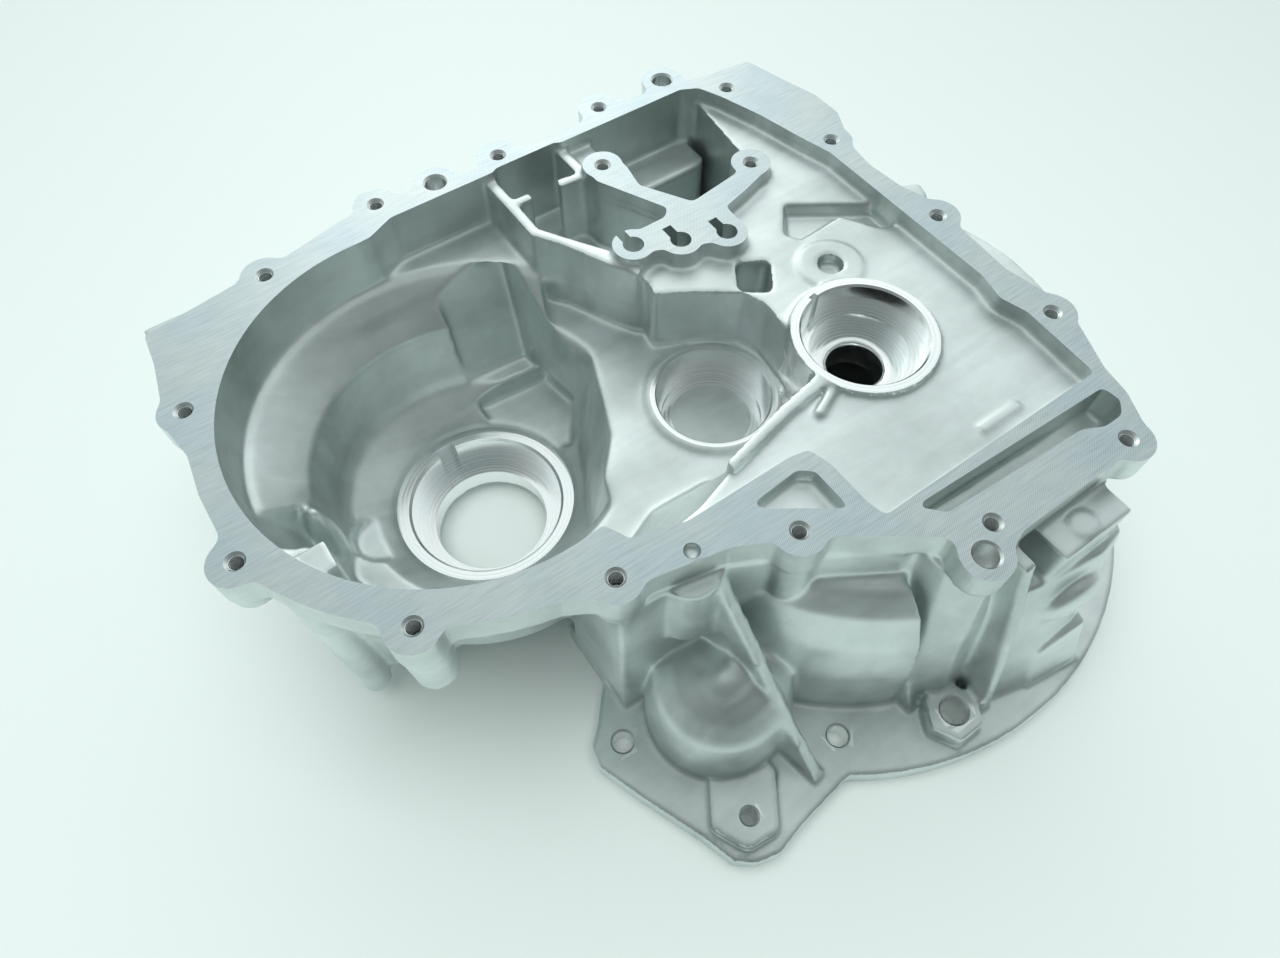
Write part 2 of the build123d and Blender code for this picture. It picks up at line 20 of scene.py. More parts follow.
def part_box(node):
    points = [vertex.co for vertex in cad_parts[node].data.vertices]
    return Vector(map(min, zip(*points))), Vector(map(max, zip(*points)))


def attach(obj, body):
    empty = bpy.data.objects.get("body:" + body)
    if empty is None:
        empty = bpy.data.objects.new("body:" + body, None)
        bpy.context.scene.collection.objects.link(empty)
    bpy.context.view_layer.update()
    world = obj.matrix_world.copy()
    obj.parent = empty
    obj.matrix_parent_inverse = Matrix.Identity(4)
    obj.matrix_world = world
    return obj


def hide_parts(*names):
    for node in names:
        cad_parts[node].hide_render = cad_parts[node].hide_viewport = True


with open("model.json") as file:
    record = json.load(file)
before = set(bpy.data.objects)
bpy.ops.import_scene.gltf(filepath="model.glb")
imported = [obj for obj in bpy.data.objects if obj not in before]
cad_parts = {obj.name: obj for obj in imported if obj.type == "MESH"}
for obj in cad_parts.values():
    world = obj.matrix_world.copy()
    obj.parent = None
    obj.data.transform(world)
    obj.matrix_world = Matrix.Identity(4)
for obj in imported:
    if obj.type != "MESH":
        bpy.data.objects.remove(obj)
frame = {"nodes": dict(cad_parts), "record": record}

log = logging.getLogger("housing")
MM = 0.001
JOINT_Z = 155.0 * MM
NODE = "housing"
NEAR_JOINT_FACE = MM        # a hole that ends this close to a face opens into it
NEAR_ENGINE_FACE = 2 * MM
BULGE_SIDES = 40            # facets round a bulge, and rings from its foot to its top
BULGE_RINGS = 24
BLACK = (0.0, 0.0, 0.0)
WHITE = (1.0, 1.0, 1.0)


class Surface(Enum):
    """The finishes of the casting, in the order of its material slots."""

    CAST = 0
    MILLED = 1
    DRILLED = 2
    TURNED = 3              # the first seat's; those of the other seats follow it


# Small helpers


def link(obj: bpy.types.Object) -> bpy.types.Object:
    """Put an object into the scene's collection."""
    bpy.context.scene.collection.objects.link(obj)
    return obj


def object_from(name: str, bm: bmesh.types.BMesh) -> bpy.types.Object:
    """Make a mesh object from a bmesh and free the bmesh.

    Args:
        name: Name of the new object.
        bm: The mesh data.

    Returns:
        The new object, already in the scene.
    """
    mesh = bpy.data.meshes.new(name)
    bm.to_mesh(mesh)
    bm.free()
    return link(bpy.data.objects.new(name, mesh))


def drop(obj: bpy.types.Object) -> None:
    """Remove an object and its mesh.

    Args:
        obj: The object, which isn't used again.
    """
    mesh = obj.data
    bpy.data.objects.remove(obj)
    bpy.data.meshes.remove(mesh)


def baked(obj: bpy.types.Object) -> bpy.types.Object:
    """Replace an object's mesh by its evaluated mesh and drop the modifiers.

    Args:
        obj: An object with modifiers.

    Returns:
        The same object.
    """
    graph = bpy.context.evaluated_depsgraph_get()
    mesh = bpy.data.meshes.new_from_object(obj.evaluated_get(graph))
    old = obj.data
    obj.modifiers.clear()
    obj.data = mesh
    bpy.data.meshes.remove(old)
    return obj


def lathe(bm: bmesh.types.BMesh, at: Vector, profile: list, segments: int) -> None:
    """Add a closed solid of revolution about an upright axis.

    Args:
        bm: Mesh that receives the solid.
        at: Point on the axis; the profile's heights are measured from it.
        profile: (radius, height) pairs from the lowest to the highest point, in metres.
        segments: Facets round the axis.
    """
    rings = []
    for radius, height in profile:
        ring = []
        for i in range(segments):
            angle = 2 * math.pi * i / segments
            ring.append(
                bm.verts.new(
                    (at.x + radius * math.cos(angle), at.y + radius * math.sin(angle), at.z + height)
                )
            )
        rings.append(ring)
    for low, high in zip(rings, rings[1:]):
        for i in range(segments):
            j = (i + 1) % segments
            bm.faces.new((low[i], low[j], high[j], high[i]))
    bm.faces.new(list(reversed(rings[0])))
    bm.faces.new(rings[-1])


def ellipsoid(bm: bmesh.types.BMesh, at: tuple, radii: tuple, turn: float = 0.0) -> None:
    """Add a closed ellipsoid.

    Args:
        bm: Mesh that receives it.
        at: Centre in millimetres.
        radii: Half axes in millimetres.
        turn: Turn about the upright axis, in degrees.
    """
    place = (
        Matrix.Translation(Vector(at) * MM)
        @ Matrix.Rotation(math.radians(turn), 4, "Z")
        @ Matrix.Diagonal((radii[0] * MM, radii[1] * MM, radii[2] * MM, 1.0))
    )
    bmesh.ops.create_uvsphere(
        bm, u_segments=BULGE_SIDES, v_segments=BULGE_RINGS, radius=1.0, matrix=place
    )


def hull(bm: bmesh.types.BMesh, points: tuple) -> None:
    """Add the convex solid that some points span.

    Args:
        bm: Mesh that receives the solid.
        points: Corners in millimetres.
    """
    part = bmesh.new()
    for point in points:
        part.verts.new(Vector(point) * MM)
    bmesh.ops.convex_hull(part, input=part.verts)
    bmesh.ops.delete(part, geom=[v for v in part.verts if not v.link_faces], context="VERTS")
    mesh = bpy.data.meshes.new("hull")
    part.to_mesh(mesh)
    part.free()
    bm.from_mesh(mesh)
    bpy.data.meshes.remove(mesh)


def slab(bm: bmesh.types.BMesh, low: Vector, high: Vector) -> None:
    """Add a closed box between two corners.

    Args:
        bm: Mesh that receives the box.
        low: Its lowest corner, in metres.
        high: Its highest corner, in metres.
    """
    middle = (low + high) / 2
    size = high - low
    place = Matrix.Translation(middle) @ Matrix.Diagonal((size.x, size.y, size.z, 1.0))
    bmesh.ops.create_cube(bm, size=1.0, matrix=place)


# Node trees and shader groups


class TreeBuilder:
    """Short calls for building a node tree."""

    def __init__(self, tree: bpy.types.NodeTree) -> None:
        """Keep the tree that is built."""
        self.tree = tree

    def node(self, kind: str, **values: object) -> bpy.types.Node:
        """Add a node.

        Args:
            kind: Blender's node type.
            **values: Attributes of the node, or sockets by name with spaces as underscores.

        Returns:
            The new node.
        """
        node = self.tree.nodes.new(kind)
        for key, value in values.items():
            if hasattr(node, key):
                setattr(node, key, value)
            else:
                node.inputs[key.replace("_", " ")].default_value = value
        return node

    def join(self, source: bpy.types.NodeSocket, target: bpy.types.NodeSocket) -> None:
        """Link two sockets."""
        self.tree.links.new(source, target)

    def ramp(self, source: bpy.types.NodeSocket, stops: tuple | list) -> bpy.types.Node:
        """Add a colour ramp.

        Args:
            source: The value that drives it.
            stops: (position, colour) pairs.

        Returns:
            The ramp node.
        """
        ramp = self.node("ShaderNodeValToRGB")
        self.join(source, ramp.inputs["Fac"])
        elements = ramp.color_ramp.elements
        while len(elements) < len(stops):
            elements.new(0.5)
        for element, (position, colour) in zip(elements, stops):
            element.position = position
            element.color = (*colour, 1.0)
        return ramp

    def maths(self, operation: str, *operands: object) -> bpy.types.NodeSocket:
        """Add a math node.

        Args:
            operation: Blender's name of the operation.
            *operands: Sockets or numbers.

        Returns:
            The socket of the result.
        """
        node = self.node("ShaderNodeMath", operation=operation)
        for socket, value in zip(node.inputs, operands):
            if isinstance(value, bpy.types.NodeSocket):
                self.join(value, socket)
            else:
                socket.default_value = value
        return node.outputs[0]


def new_group(name: str, inputs: dict, outputs: dict) -> tuple:
    """Start a shader node group.

    Args:
        name: Name of the group.
        inputs: Socket types and default values by socket name.
        outputs: Socket types by socket name.

    Returns:
        The group, its tree helper, its input node and its output node.
    """
    group = bpy.data.node_groups.new(name, "ShaderNodeTree")
    for socket, (kind, value) in inputs.items():
        made = group.interface.new_socket(name=socket, in_out="INPUT", socket_type=kind)
        if value is not None:
            made.default_value = value
    for socket, kind in outputs.items():
        group.interface.new_socket(name=socket, in_out="OUTPUT", socket_type=kind)
    tree = TreeBuilder(group)
    return group, tree, tree.node("NodeGroupInput"), tree.node("NodeGroupOutput")


def cast_skin_group() -> bpy.types.NodeTree:
    """Group for the skin that a die leaves: cloudy tone, flow marks and a fine grain.

    Returns:
        The group, with outputs Colour, Roughness and Height.
    """
    group, tree, into, out = new_group(
        "cast skin",
        {
            "Vector": ("NodeSocketVector", None),
            "Light": ("NodeSocketColor", (0.74, 0.79, 0.785, 1)),
            "Dark": ("NodeSocketColor", (0.52, 0.57, 0.56, 1)),
            "Scale": ("NodeSocketFloat", 18.0),
            "Roughness": ("NodeSocketFloat", 0.42),
        },
        {"Colour": "NodeSocketColor", "Roughness": "NodeSocketFloat", "Height": "NodeSocketFloat"},
    )
    cloud = tree.node("ShaderNodeTexNoise", Detail=5.0, Roughness=0.6)
    tree.join(into.outputs["Vector"], cloud.inputs["Vector"])
    tree.join(into.outputs["Scale"], cloud.inputs["Scale"])
    stretch = tree.node("ShaderNodeMapping")
    stretch.inputs["Scale"].default_value = (9.0, 60.0, 30.0)
    stretch.inputs["Rotation"].default_value = (0.0, 0.0, 0.6)
    tree.join(into.outputs["Vector"], stretch.inputs["Vector"])
    flow = tree.node("ShaderNodeTexNoise", Scale=1.0, Detail=4.0, Distortion=0.6)
    tree.join(stretch.outputs["Vector"], flow.inputs["Vector"])
    grain = tree.node("ShaderNodeTexNoise", Scale=900.0, Detail=3.0)
    tree.join(into.outputs["Vector"], grain.inputs["Vector"])
    cloud_share, flow_share = 0.6, 0.4
    mixed = tree.maths("MULTIPLY", cloud.outputs["Fac"], cloud_share)
    mixed = tree.maths("ADD", mixed, tree.maths("MULTIPLY", flow.outputs["Fac"], flow_share))
    all_dark, all_light = 0.38, 0.60
    spread = tree.ramp(mixed, [(all_dark, BLACK), (all_light, WHITE)])
    colour = tree.node("ShaderNodeMix", data_type="RGBA")
    tree.join(spread.outputs["Color"], colour.inputs["Factor"])
    tree.join(into.outputs["Dark"], colour.inputs["A"])
    tree.join(into.outputs["Light"], colour.inputs["B"])
    tree.join(colour.outputs["Result"], out.inputs["Colour"])
    mean, swing = 0.5, 0.25
    rough = tree.maths("SUBTRACT", flow.outputs["Fac"], mean)
    rough = tree.maths("MULTIPLY", rough, swing)
    tree.join(tree.maths("ADD", rough, into.outputs["Roughness"]), out.inputs["Roughness"])
    grain_height, flow_height = 0.35, 0.5
    height = tree.maths("MULTIPLY", grain.outputs["Fac"], grain_height)
    height = tree.maths("ADD", height, tree.maths("MULTIPLY", flow.outputs["Fac"], flow_height))
    tree.join(height, out.inputs["Height"])
    return group


def cutter_marks_group() -> bpy.types.NodeTree:
    """Group for the fine marks that a face mill or a lathe tool leaves round a centre.

    Returns:
        The group, with outputs Mark, Patch and Height.
    """
    group, tree, into, out = new_group(
        "cutter marks",
        {
            "Vector": ("NodeSocketVector", None),
            "Pitch": ("NodeSocketFloat", 900.0),
            "Wander": ("NodeSocketFloat", 0.4),
            "Scratch": ("NodeSocketFloat", 0.65),
        },
        {"Mark": "NodeSocketFloat", "Patch": "NodeSocketFloat", "Height": "NodeSocketFloat"},
    )
    wave = tree.node("ShaderNodeTexWave", wave_type="RINGS", rings_direction="Z", Detail=3.0)
    tree.join(into.outputs["Vector"], wave.inputs["Vector"])
    tree.join(into.outputs["Pitch"], wave.inputs["Scale"])
    tree.join(into.outputs["Wander"], wave.inputs["Distortion"])
    patch = tree.node("ShaderNodeTexNoise", Scale=22.0, Detail=5.0, Roughness=0.65)
    tree.join(into.outputs["Vector"], patch.inputs["Vector"])
    bare, covered = 0.40, 0.62
    soft = tree.ramp(patch.outputs["Fac"], [(bare, BLACK), (covered, WHITE)])
    scratch = tree.node("ShaderNodeTexNoise", Scale=1.0, Detail=4.0)
    stretch = tree.node("ShaderNodeMapping")
    stretch.inputs["Scale"].default_value = (60.0, 900.0, 60.0)
    stretch.inputs["Rotation"].default_value = (0.0, 0.0, 0.9)
    tree.join(into.outputs["Vector"], stretch.inputs["Vector"])
    tree.join(stretch.outputs["Vector"], scratch.inputs["Vector"])
    mix = tree.node("ShaderNodeMix", data_type="FLOAT")
    tree.join(into.outputs["Scratch"], mix.inputs["Factor"])
    tree.join(wave.outputs["Fac"], mix.inputs["A"])
    tree.join(scratch.outputs["Fac"], mix.inputs["B"])
    mark = mix.outputs["Result"]
    tree.join(mark, out.inputs["Mark"])
    tree.join(soft.outputs["Color"], out.inputs["Patch"])
    tree.join(mark, out.inputs["Height"])
    return group


@dataclass(frozen=True)
class CastSkin:
    """As-cast aluminium: satin, cloudy, a little grainy."""

    light: tuple = (0.80, 0.865, 0.85)
    dark: tuple = (0.58, 0.64, 0.625)
    roughness: float = 0.41
    metallic: float = 0.95
    bump: float = 0.12
    relief: float = MM

    def build(self, group: bpy.types.NodeTree) -> bpy.types.Material:
        """Make the material.

        Args:
            group: The cast skin group.

        Returns:
            The material.
        """
        material = bpy.data.materials.new("cast aluminium")
        material.use_nodes = True
        tree = TreeBuilder(material.node_tree)
        shader = material.node_tree.nodes["Principled BSDF"]
        shader.inputs["Metallic"].default_value = self.metallic
        coords = tree.node("ShaderNodeTexCoord")
        skin = tree.node("ShaderNodeGroup", node_tree=group)
        skin.inputs["Light"].default_value = (*self.light, 1)
        skin.inputs["Dark"].default_value = (*self.dark, 1)
        skin.inputs["Roughness"].default_value = self.roughness
        tree.join(coords.outputs["Object"], skin.inputs["Vector"])
        tree.join(skin.outputs["Colour"], shader.inputs["Base Color"])
        tree.join(skin.outputs["Roughness"], shader.inputs["Roughness"])
        bump = tree.node("ShaderNodeBump", Strength=self.bump, Distance=self.relief)
        tree.join(skin.outputs["Height"], bump.inputs["Height"])
        tree.join(bump.outputs["Normal"], shader.inputs["Normal"])
        return material


@dataclass(frozen=True)
class MachinedFinish:
    """A machined surface: brighter metal with tool marks about a centre in millimetres."""

    name: str
    light: tuple
    dark: tuple
    roughness: float
    pitch: float
    wander: float
    centre: tuple = (0.0, 0.0, 0.0)
    tint: tuple = (0.97, 1.0, 1.0)
    scratch: float = 0.0
    bump: float = 0.05
    relief: float = 0.4 * MM
    all_dark: float = 0.25      # marks below this are all dark, and above the next all light
    all_light: float = 0.65
    rough_swing: float = 0.12   # how much rougher a light mark is than a dark one

    def build(self, group: bpy.types.NodeTree) -> bpy.types.Material:
        """Make the material.

        Args:
            group: The cutter marks group.

        Returns:
            The material.
        """
        material = bpy.data.materials.new(self.name)
        material.use_nodes = True
        tree = TreeBuilder(material.node_tree)
        shader = material.node_tree.nodes["Principled BSDF"]
        shader.inputs["Metallic"].default_value = 1.0
        coords = tree.node("ShaderNodeTexCoord")
        place = tree.node("ShaderNodeMapping")
        place.inputs["Location"].default_value = tuple(-c * MM for c in self.centre)
        tree.join(coords.outputs["Object"], place.inputs["Vector"])
        marks = tree.node("ShaderNodeGroup", node_tree=group)
        marks.inputs["Pitch"].default_value = self.pitch
        marks.inputs["Wander"].default_value = self.wander
        marks.inputs["Scratch"].default_value = self.scratch
        tree.join(place.outputs["Vector"], marks.inputs["Vector"])
        ramp = tree.ramp(marks.outputs["Mark"], [(self.all_dark, self.dark), (self.all_light, self.light)])
        tint = tree.node("ShaderNodeMix", data_type="RGBA", blend_type="MULTIPLY")
        tree.join(marks.outputs["Patch"], tint.inputs["Factor"])
        tree.join(ramp.outputs["Color"], tint.inputs["A"])
        tint.inputs["B"].default_value = (*self.tint, 1)
        tree.join(tint.outputs["Result"], shader.inputs["Base Color"])
        rough = tree.maths("MULTIPLY", marks.outputs["Mark"], self.rough_swing)
        tree.join(tree.maths("ADD", rough, self.roughness), shader.inputs["Roughness"])
        bump = tree.node("ShaderNodeBump", Strength=self.bump, Distance=self.relief)
        tree.join(marks.outputs["Height"], bump.inputs["Height"])
        tree.join(bump.outputs["Normal"], shader.inputs["Normal"])
        return material


# Machining


@dataclass(frozen=True)
class Seat:
    """A turned seat in millimetres: its steps, from the top down, and the faced rim round it."""

    name: str
    steps: tuple            # (radius, height of the step's foot)
    top: float
    rim: float              # radius of the faced rim
    clear: float            # how far above the rim the facing tool needs room
    chamfer: float = 1.0
    stock_radius: float = 0.0       # of the metal under the tool, where it isn't the rim's

    @property
    def plug_radius(self) -> float:
        """Radius of the stock that the seat is turned from."""
        return self.stock_radius or self.rim

    def profile(self) -> list:
        """Outline of the cutter from its lowest to its highest point, in metres.

        Returns:
            (radius, height) pairs.
        """
        points = []
        for radius, foot in reversed(self.steps):
            if points:
                points.append((points[-1][0], foot))
            points.append((radius, foot))
        bore = points[-1][0]
        points += [(bore, self.top - self.chamfer), (bore + self.chamfer, self.top)]
        points += [(self.rim, self.top), (self.rim, self.top + self.clear)]
        return [(r * MM, z * MM) for r, z in points]


SEATS = (
    Seat("input_bearing", ((31.0, 135.5), (25.0, 125.5), (14.0, 96.0)), 149.5, 36.5, 5.0),
    Seat("middle_bearing", ((30.0, 89.5), (27.0, 87.5), (21.5, 86.0)), 107.5, 33.6, 41.0, 0.8, 36.0),
    Seat("differential_bearing", ((42.5, 24.5), (39.5, 22.0), (32.5, 5.0)), 42.0, 50.0, 4.0, 1.4),
)


@dataclass(frozen=True)
class Hole:
    """A drilled or tapped hole with an upright axis, in metres."""

    x: float
    y: float
    low: float
    high: float
    radius: float
    threaded: bool

    @property
    def through(self) -> bool:
        """Whether the hole opens into the engine side."""
        return self.low < NEAR_ENGINE_FACE

    @property
    def flush(self) -> bool:
        """Whether the hole starts in the joint face."""
        return self.high > JOINT_Z - NEAR_JOINT_FACE


@dataclass(frozen=True)
class Keyhole:
    """A blind keyhole in the island, in millimetres: a round end and a slot towards the back."""

    x: float
    y: float
    radius: float = 5.5
    slot: tuple = ((-3.7, 1.0), (1.7, 11.5))        # its corners, from the round end's centre
    foot: float = 139.0
    over: float = 160.0                             # top of the tools
    sides: int = 40
    plug_radius: float = 7.0
    plug_slot: tuple = ((-5.0, 0.0), (3.0, 10.0))
    plug_foot: float = 138.0
    plug_sides: int = 32

    @property
    def at(self) -> Vector:
        """Centre of the round end at the engine face, in metres."""
        return Vector((self.x, self.y, 0)) * MM

    def add_stock(self, bm: bmesh.types.BMesh, stock: float) -> None:
        """Fill the keyhole of the raw casting.

        Args:
            bm: Mesh that receives the plug.
            stock: Height of the stock on the joint face, in metres.
        """
        radius = self.plug_radius * MM
        lathe(bm, self.at, [(radius, self.plug_foot * MM), (radius, JOINT_Z + stock)], self.plug_sides)
        near, far = self.plug_slot
        top = Vector((*far, JOINT_Z / MM)) * MM + Vector((0, 0, stock))
        slab(bm, self.at + Vector((*near, self.plug_foot)) * MM, self.at + top)

    def round_tool(self, bm: bmesh.types.BMesh) -> None:
        """Add the cutter of the round end."""
        radius = self.radius * MM
        lathe(bm, self.at, [(radius, self.foot * MM), (radius, self.over * MM)], self.sides)

    def slot_tool(self, bm: bmesh.types.BMesh) -> None:
        """Add the cutter of the slot."""
        near, far = self.slot
        slab(bm, self.at + Vector((*near, self.foot)) * MM, self.at + Vector((*far, self.over)) * MM)


KEYHOLES = (Keyhole(-61.0, 109.0), Keyhole(-39.0, 98.0), Keyhole(-16.0, 89.0))


@dataclass(frozen=True)
class Notch:
    """A milled notch in the wall of a seat, in millimetres and degrees."""

    seat: str
    angle: float
    inner: float
    outer: float
    width: float
    low: float
    high: float

    def add(self, bm: bmesh.types.BMesh, at: Vector) -> None:
        """Add the notch's cutter.

        Args:
            bm: Mesh that receives it.
            at: The seat's place.
        """
        reach = (self.inner + self.outer) / 2
        place = (
            Matrix.Translation(at)
            @ Matrix.Rotation(math.radians(self.angle), 4, "Z")
            @ Matrix.Translation(Vector((reach, 0, (self.low + self.high) / 2)) * MM)
            @ Matrix.Diagonal(
                ((self.outer - self.inner) * MM, self.width * MM, (self.high - self.low) * MM, 1.0)
            )
        )
        bmesh.ops.create_cube(bm, size=1.0, matrix=place)


NOTCHES = (
    Notch("differential_bearing", 93.0, 38.0, 47.5, 11.0, 24.5, 44.0),
    Notch("input_bearing", 99.0, 28.0, 34.0, 4.5, 135.5, 151.0),
)


@dataclass
class Machining:
    """Everything that is cut into the raw casting, at the places of the record's mounts."""

    record: dict
    stock: float = 4 * MM               # what the face mill takes off each of the two faces
    overrun: float = MM                 # how far a drill runs past the stock
    room: float = 12 * MM               # above a hole that starts lower down
    chamfer: float = 1.1 * MM
    tip_radius: float = 0.3 * MM
    tip_length: float = 0.35            # of a tapping drill's point, as a share of its radius
    hole_sides: int = 36
    seat_sides: int = 112
    plug_depth: float = 1.6 * MM        # below the hole that the plug fills
    plug_wall: float = 0.7 * MM
    plug_sides: int = 40
    seat_plug_depth: float = 3.0        # below the seat's upper step, in millimetres
    seat_plug_rise: float = 1.2         # above its rim, in millimetres
    seat_plug_sides: int = 96
    holes: list = field(default_factory=list)
    places: dict = field(default_factory=dict)

    def read(self) -> None:
        """Collect the holes and the seats' places from the record."""
        seats = {seat.name for seat in SEATS}
        for mount in self.record["mounts"]:
            x, y, z = mount["pos_m"]
            if mount["name"] in seats:
                self.places[mount["name"]] = Vector((x, y, 0))
            elif "screw" in mount["name"] or "dowel" in mount["name"]:
                half = mount["dims"]["length_mm"] * MM / 2
                radius = mount["dims"]["r_mm"] * MM
                threaded = mount["kind"] == "threaded_hole"
                self.holes.append(Hole(x, y, z - half, z + half, radius, threaded))
        log.info("machining: %d holes, %d seats", len(self.holes), len(self.places))

    def add_stock(self, bm: bmesh.types.BMesh) -> None:
        """Fill holes and seats of the raw casting, because they are cut after it is cast.

        Args:
            bm: Mesh that receives the plugs.
        """
        for hole in self.holes:
            top = JOINT_Z + self.stock if hole.flush else hole.high
            base = -self.stock if hole.through else hole.low - self.plug_depth
            radius = hole.radius + self.plug_wall
            lathe(bm, Vector((hole.x, hole.y, 0)), [(radius, base), (radius, top)], self.plug_sides)
        for seat in SEATS:
            radius = seat.plug_radius * MM
            base = (seat.steps[0][1] - self.seat_plug_depth) * MM
            top = (seat.top + self.seat_plug_rise) * MM
            lathe(bm, self.places[seat.name], [(radius, base), (radius, top)], self.seat_plug_sides)
        for keyhole in KEYHOLES:
            keyhole.add_stock(bm, self.stock)

    def hole_tool(self, bm: bmesh.types.BMesh, hole: Hole) -> None:
        """Add the cutter of one hole, with its chamfer and its drill point.

        Args:
            bm: Mesh that receives it.
            hole: The hole.
        """
        past = self.stock + self.overrun
        low = hole.low - (past if hole.through else 0)
        lead = past if hole.flush else self.room
        wide = hole.radius + self.chamfer
        profile = [(hole.radius, low), (hole.radius, hole.high - self.chamfer)]
        profile += [(wide, hole.high), (wide, hole.high + lead)]
        if not hole.through and hole.threaded:
            profile.insert(0, (self.tip_radius, low - self.tip_length * hole.radius))
        lathe(bm, Vector((hole.x, hole.y, 0)), profile, self.hole_sides)

    def cutters(self) -> list:
        """Make the tools that cut holes, seats, keyholes and notches.

        Returns:
            Objects, one for each pass of the boolean.
        """
        bores, rounds, slots = bmesh.new(), bmesh.new(), bmesh.new()
        for hole in self.holes:
            self.hole_tool(bores, hole)
        for seat in SEATS:
            lathe(bores, self.places[seat.name], seat.profile(), self.seat_sides)
        for keyhole in KEYHOLES:
            keyhole.round_tool(rounds)
            keyhole.slot_tool(slots)
        for notch in NOTCHES:
            notch.add(slots, self.places[notch.seat])
        return [object_from("bores", bores), object_from("rounds", rounds), object_from("slots", slots)]


# The casting


def fade(values: np.ndarray, start: float, reach: float) -> np.ndarray:
    """Go from 0 at a start to 1 at a reach from it.

    Args:
        values: What is compared with the start.
        start: Where the result leaves 0.
        reach: How far from there it is 1; negative where it is 1 below the start.

    Returns:
        Weights from 0 to 1.
    """
    return np.clip((values - start) / reach, 0, 1)


@dataclass
class RawCasting:
    """The casting before machining: the solid with rounded edges and fillets.

    The areas that are softened more are given by a start and a reach, as in fade, in millimetres.
    """

    voxel: float = 1.3 * MM
    quick_voxel: float = 1.8 * MM
    merge: float = 1e-6
    face_band: float = 0.05 * MM        # corners this close to a face rise with its stock
    ease: float = 0.5
    soften: int = 6                     # rounds of smoothing: everywhere, on the walls, on the dome
    flow: int = 14
    dome: int = 40
    budget: int = 160000                # triangles before machining
    walls_top: tuple = (136.0, -10.0)
    walls_foot: tuple = (22.0, 10.0)
    dome_at: tuple = (-138.0, -80.0)
    dome_edge: tuple = (48.0, -8.0)
    dome_top: tuple = (96.0, -10.0)
    dome_foot: tuple = (18.0, 6.0)
    dome_core: float = 0.5              # the least weight that counts as the dome
    levels: int = 10                    # steps of weight in a vertex group

    def rough_copy(self, machining: Machining) -> bpy.types.Object:
        """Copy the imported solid, add machining stock and fill its holes.

        Args:
            machining: The holes and seats that are filled.

        Returns:
            A closed mesh of overlapping solids.
        """
        bm = bmesh.new()
        bm.from_mesh(frame["nodes"][NODE].data)
        bmesh.ops.remove_doubles(bm, verts=bm.verts, dist=self.merge)
        for vertex in bm.verts:
            if vertex.co.z > JOINT_Z - self.face_band:
                vertex.co.z += machining.stock
            elif vertex.co.z < self.face_band:
                vertex.co.z -= machining.stock
        machining.add_stock(bm)
        return object_from("raw_casting", bm)

    def build(self, machining: Machining, forms: "FoundryForms") -> bpy.types.Object:
        """Remesh and soften the copy.

        Args:
            machining: The holes that are filled first.
            forms: Rounded forms that are added to the solid.

        Returns:
            The raw casting.
        """
        body = self.rough_copy(machining)
        forms.add_to(body)
        remesh = body.modifiers.new("skin", "REMESH")
        remesh.mode = "VOXEL"
        remesh.voxel_size = self.voxel
        baked(body)
        self.weigh(body)
        for name, rounds in (("soften", self.soften), ("walls", self.flow), ("dome", self.dome)):
            smooth = body.modifiers.new(name, "SMOOTH")
            smooth.factor = self.ease
            smooth.iterations = rounds
            if name in body.vertex_groups:
                smooth.vertex_group = name
        thin = body.modifiers.new("thin", "DECIMATE")
        thin.ratio = min(1.0, self.budget / (2 * len(body.data.polygons)))
        baked(body)
        log.info("raw casting: %d faces", len(body.data.polygons))
        return body

    def weigh(self, body: bpy.types.Object) -> None:
        """Give the walls below the deck, and the front dome, more softening than the deck itself.

        Args:
            body: The remeshed casting, which receives the vertex groups "walls" and "dome".
        """
        places = np.empty(len(body.data.vertices) * 3)
        body.data.vertices.foreach_get("co", places)
        x, y, z = places.reshape(-1, 3).T / MM
        away = np.hypot(x - self.dome_at[0], y - self.dome_at[1])
        weight = fade(z, *self.walls_top) * fade(z, *self.walls_foot)
        walls = body.vertex_groups.new(name="walls")
        for level in range(1, self.levels + 1):
            chosen = np.nonzero(np.round(weight * self.levels) == level)[0]
            walls.add(chosen.tolist(), level / self.levels, "REPLACE")
        inside = fade(away, *self.dome_edge) * fade(z, *self.dome_top) * fade(z, *self.dome_foot)
        dome = body.vertex_groups.new(name="dome")
        dome.add(np.nonzero(inside > self.dome_core)[0].tolist(), 1.0, "REPLACE")


@dataclass(frozen=True)
class Post:
    """A round post with draft, in millimetres."""

    x: float
    y: float
    foot: float
    foot_radius: float
    top: float
    top_radius: float
    sides: int = 36

    def add(self, bm: bmesh.types.BMesh) -> None:
        """Add the post to a mesh."""
        ends = [(self.foot_radius * MM, self.foot * MM), (self.top_radius * MM, self.top * MM)]
        lathe(bm, Vector((self.x, self.y, 0)) * MM, ends, self.sides)


@dataclass(frozen=True)
class Bulge:
    """A rounded swelling of a wall, in millimetres and degrees."""

    at: tuple
    radii: tuple
    turn: float

    def add(self, bm: bmesh.types.BMesh) -> None:
        """Add the bulge to a mesh."""
        ellipsoid(bm, self.at, self.radii, self.turn)


